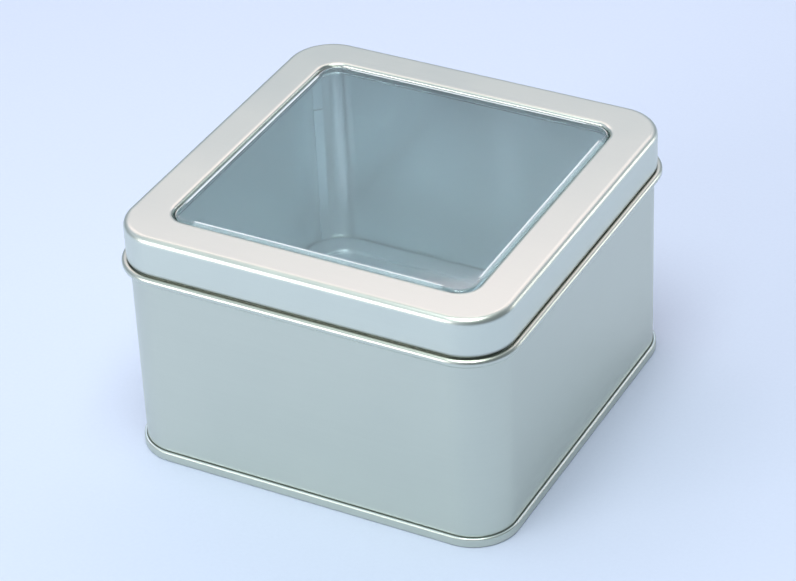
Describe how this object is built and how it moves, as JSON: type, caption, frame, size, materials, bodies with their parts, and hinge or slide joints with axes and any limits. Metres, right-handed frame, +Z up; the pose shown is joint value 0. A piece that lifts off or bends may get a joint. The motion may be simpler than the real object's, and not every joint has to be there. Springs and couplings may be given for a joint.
{
  "type": "window lid tin",
  "caption": "Square satin tinplate box with rounded corners, a seamed foot ring, a rolled stop ring and a lift-off framed lid with a clear window.",
  "frame": {"origin": "middle of the tin on the plane that its foot ring stands on", "axes": "+Z up out of the lid, the pictured wide face towards -Y, the pictured right face towards +X"},
  "size_m": [0.1222, 0.1222, 0.0762],
  "materials": {
    "satin_tinplate": "satin tinplate with a fine rolled grain",
    "clear_sheet": "clear glossy formed sheet",
    "clear_glue": "milky adhesive line"
  },
  "bodies": {
    "tin_base": {"body_wall": "satin_tinplate", "bottom_panel": "satin_tinplate", "neck_collar": "satin_tinplate"},
    "lid": {"lid_shell": "satin_tinplate", "window_pane": "clear_sheet", "window_glue": "clear_glue"}
  },
  "joints": [
    {"name": "lid_lift", "type": "slide", "parent": "tin_base", "child": "lid", "axis": [0, 0, 1], "range_m": [0, 0.06]}
  ]
}
